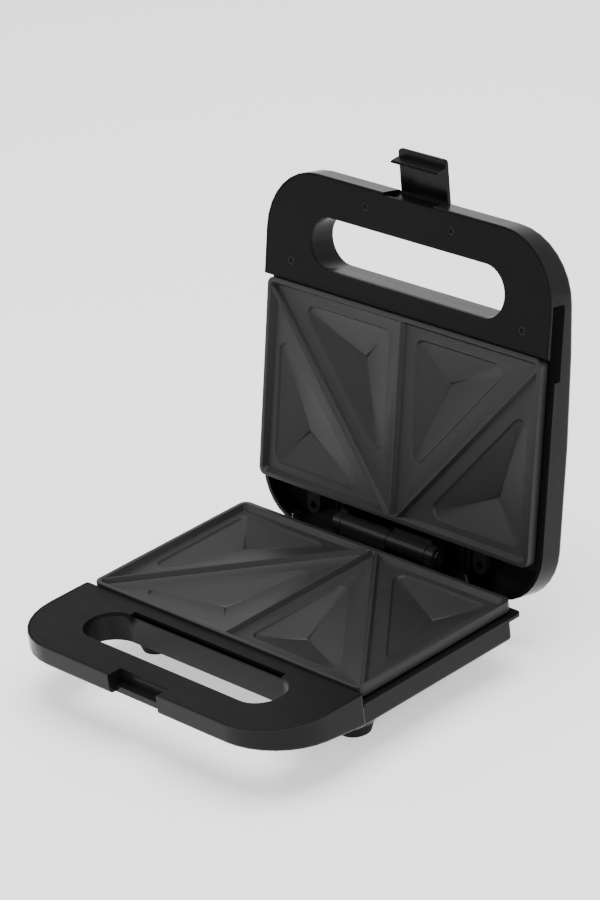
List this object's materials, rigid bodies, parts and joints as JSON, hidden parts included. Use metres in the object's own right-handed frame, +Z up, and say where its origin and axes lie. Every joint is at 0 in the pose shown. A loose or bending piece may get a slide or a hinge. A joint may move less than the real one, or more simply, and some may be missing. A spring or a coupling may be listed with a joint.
{
  "type": "sandwich toaster",
  "caption": "Countertop sandwich toaster with a hinged lid, ridged non-stick plates that seal filled bread into triangles, loop handles on both halves and a clip at the front",
  "frame": {"origin": "centre of the object's box in plan, on the plane of the feet's soles", "axes": "+X to the right of someone facing the front handles, +Y to the back, +Z up"},
  "size_m": [0.233, 0.2694, 0.2707],
  "materials": {
    "shell": "gloss black moulding",
    "handle_face": "satin black moulding",
    "cooking_plate": "cast, with a dark grey non-stick coating of soft sheen",
    "heater_sheath": "dull tube",
    "spring_steel": "pressed sheet",
    "shield": "bright sheet",
    "screw": "blackened pan heads",
    "foot_rubber": "matt black",
    "ceramic": "off-white glazed ceramic",
    "terminal": "off-white moulding",
    "bush_rubber": "matt black",
    "clamp": "black nylon",
    "pin": "ground steel",
    "red_lens": "clear red moulding",
    "green_lens": "clear green moulding",
    "bulb": "clear neon bulb",
    "latch": "gloss black moulding"
  },
  "bodies": {
    "base": {"base_shell": "shell", "base_frame": "handle_face", "base_plate": "cooking_plate", "base_heater": "heater_sheath", "base_heater_clips": "spring_steel", "base_heat_shield": "shield", "base_plate_screws": "screw", "base_frame_screws": "screw", "feet": "foot_rubber", "thermostat": "ceramic", "thermal_fuse": "ceramic", "terminal_block": "terminal", "cord_bush": "bush_rubber", "cord_clamp": "clamp", "hinge_pin": "pin"},
    "lid": {"lid_shell": "shell", "lid_frame": "handle_face", "lid_plate": "cooking_plate", "lid_heater": "heater_sheath", "lid_heater_clips": "spring_steel", "lid_heat_shield": "shield", "lid_plate_screws": "screw", "lid_frame_screws": "screw", "power_lens": "red_lens", "ready_lens": "green_lens", "lamp_bulbs": "bulb", "latch_pin": "pin"},
    "clip": {"latch": "latch"}
  },
  "joints": [
    {"name": "lid_hinge", "type": "hinge", "parent": "base", "child": "lid", "pos_m": [0, 0.07232, 0.0458], "axis": [1, 0, 0], "range_deg": [0, 102.5]},
    {"name": "latch_hinge", "type": "hinge", "parent": "lid", "child": "clip", "pos_m": [0, 0.12412, 0.23969], "axis": [1, 0, 0], "range_deg": [0, 80]}
  ]
}
